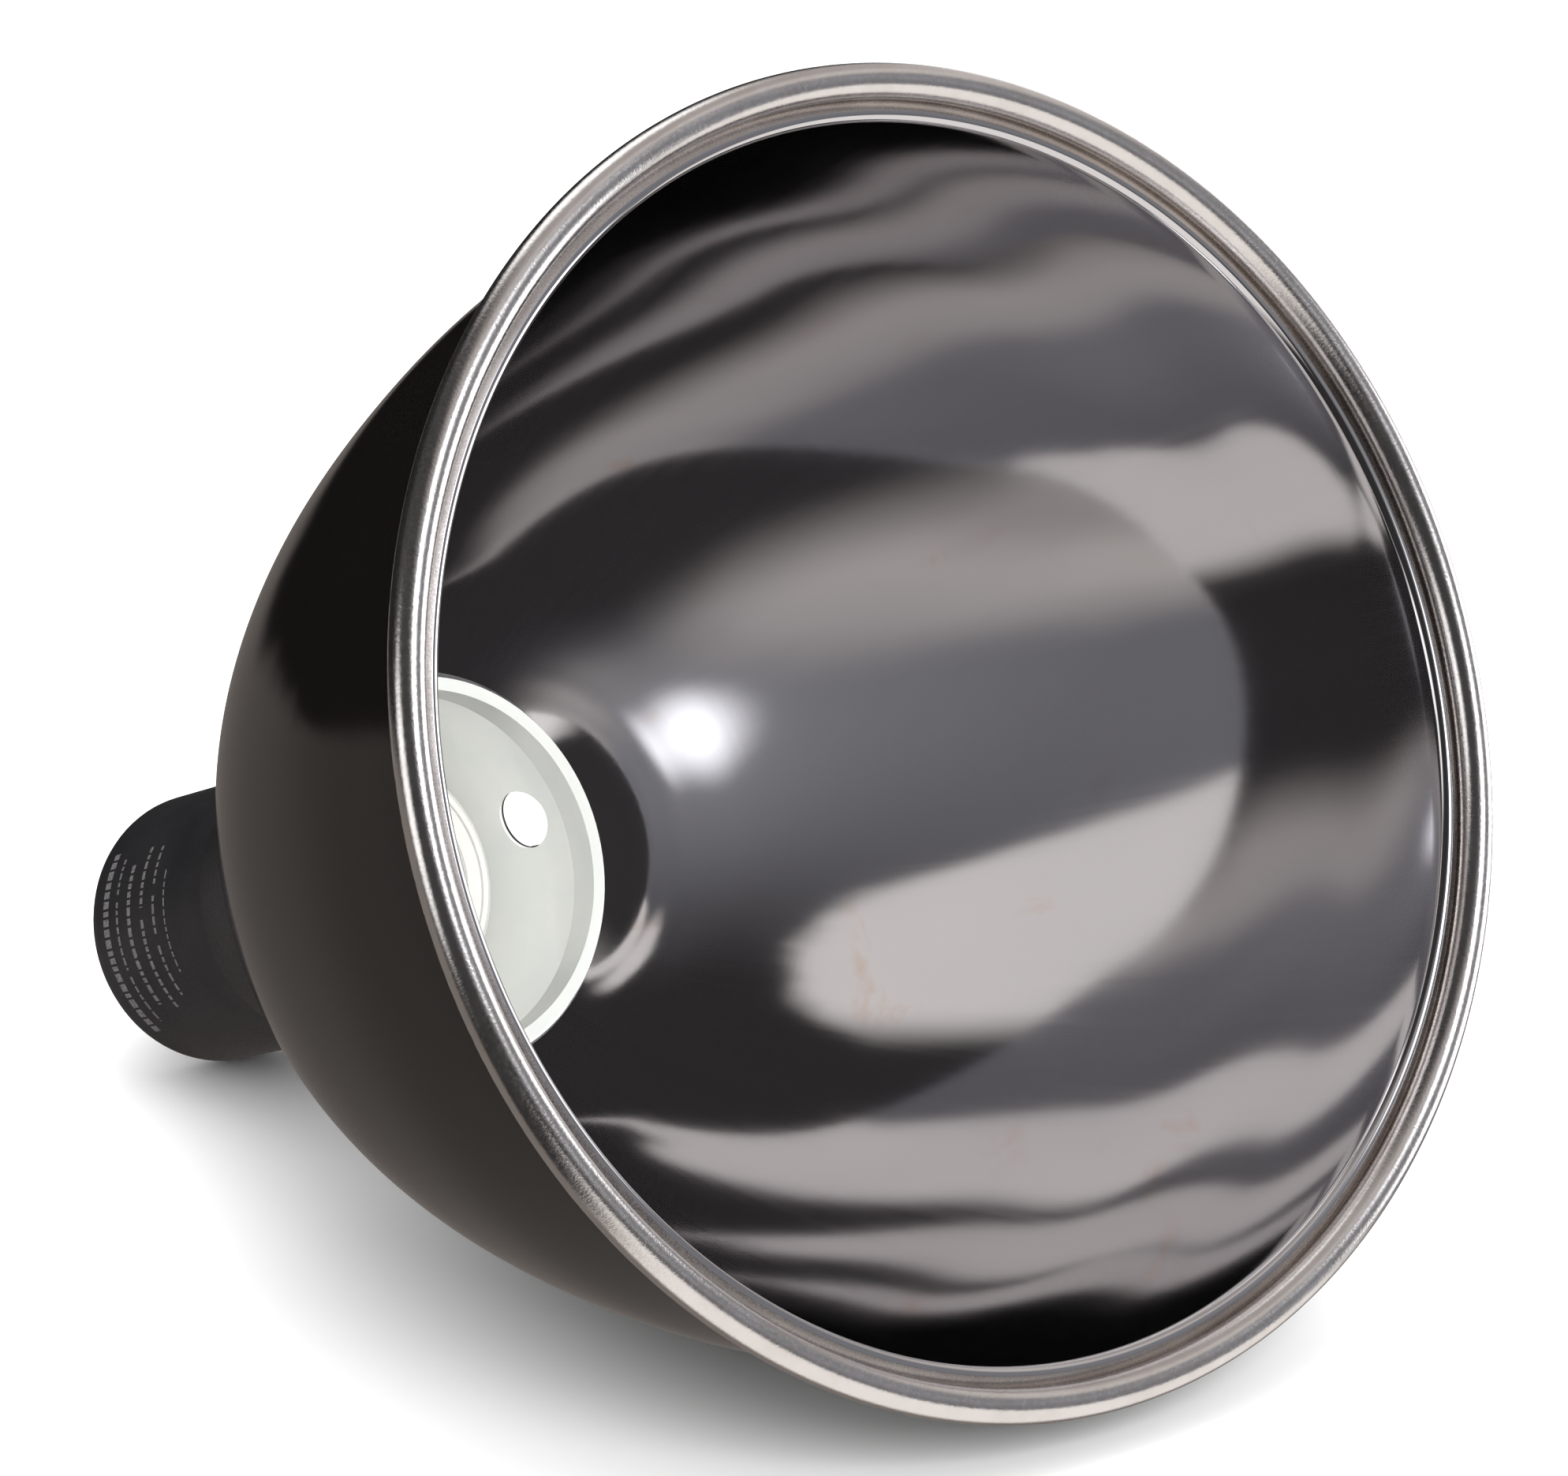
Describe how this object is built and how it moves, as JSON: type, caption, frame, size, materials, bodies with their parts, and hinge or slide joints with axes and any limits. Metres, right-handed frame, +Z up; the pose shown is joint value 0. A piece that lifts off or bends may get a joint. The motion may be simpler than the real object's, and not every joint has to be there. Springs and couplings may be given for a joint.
{
  "type": "dome reflector clamp lamp",
  "caption": "Spun dome reflector with rolled rim on a vented lampholder housing, with a tilting and swivelling spring clamp at its side.",
  "frame": {"origin": "centre of the bounding box's base, on the surface the lamp lies on", "axes": "+Z up; -Y is the side the reflector opens to, along the part's longest extent; +X is the side that carries the clamp. The lamp axis lies in the YZ plane and rises 21.41 degrees towards the opening."},
  "size_m": [0.215, 0.28, 0.2086],
  "materials": {
    "spun_aluminium": "polished inside and on the rim, gloss black enamel outside",
    "black_enamel": "satin black outside; the housing's inside is gloss white",
    "white_ceramic": "glazed",
    "nickel_plate": "nickel plated",
    "brass": "bright",
    "zinc_plated_steel": "zinc plated",
    "spring_steel": "oiled",
    "black_rubber": "matte",
    "black_plastic": "matte",
    "soft_vinyl": "satin dipped vinyl"
  },
  "bodies": {
    "lamp_head": {"reflector_dome": "spun_aluminium", "rim_wire": "zinc_plated_steel", "neck_ring": "black_enamel", "socket_housing": "black_enamel", "ceramic_holder": "white_ceramic", "screw_shell": "nickel_plate", "terminals": "brass", "terminal_screws": "zinc_plated_steel", "holder_strap": "zinc_plated_steel", "holder_screws": "zinc_plated_steel", "strap_rivets": "zinc_plated_steel", "cable_gland": "black_rubber", "cord_grip": "black_plastic", "cord_grip_screws": "zinc_plated_steel", "tilt_bracket": "black_enamel", "bracket_rivets": "black_enamel", "tilt_bolt": "zinc_plated_steel", "tilt_washers": "zinc_plated_steel"},
    "centre_contact": {"centre_contact": "brass"},
    "wing_nut": {"wing_nut": "zinc_plated_steel"},
    "swivel_arm": {"swivel_arm": "black_enamel", "swivel_washer": "black_plastic", "swivel_rivet": "zinc_plated_steel"},
    "clamp_fixed": {"jaw_fixed": "zinc_plated_steel", "hinge_pin": "zinc_plated_steel", "torsion_spring": "spring_steel", "pad_fixed": "black_rubber", "grip_fixed": "soft_vinyl"},
    "clamp_moving": {"jaw_moving": "zinc_plated_steel", "spring_free_leg": "spring_steel", "pad_moving": "black_rubber", "grip_moving": "soft_vinyl"}
  },
  "joints": [
    {"name": "contact_press", "type": "slide", "parent": "lamp_head", "child": "centre_contact", "axis": [0, 0.931, -0.365], "range_m": [0, 0.0015], "stiffness_N_per_m": 1500, "springref_m": -0.0005},
    {"name": "wing_nut_turn", "type": "hinge", "parent": "lamp_head", "child": "wing_nut", "pos_m": [0.039, 0.09467, 0.02384], "axis": [0, 0.365, 0.931], "continuous": true},
    {"name": "arm_tilt", "type": "hinge", "parent": "lamp_head", "child": "swivel_arm", "pos_m": [0.039, 0.09759, 0.03129], "axis": [0, 0.365, 0.931], "range_deg": [-10, 45]},
    {"name": "clamp_swivel", "type": "hinge", "parent": "swivel_arm", "child": "clamp_fixed", "pos_m": [0.057, 0.09003, 0.012], "axis": [1, 0, 0], "continuous": true},
    {"name": "jaw_open", "type": "hinge", "parent": "clamp_fixed", "child": "clamp_moving", "pos_m": [0.074, 0.09003, 0.012], "axis": [0, 0, -1], "range_deg": [0, 32], "stiffness_Nm_per_rad": 1, "springref_deg": -45.84}
  ]
}
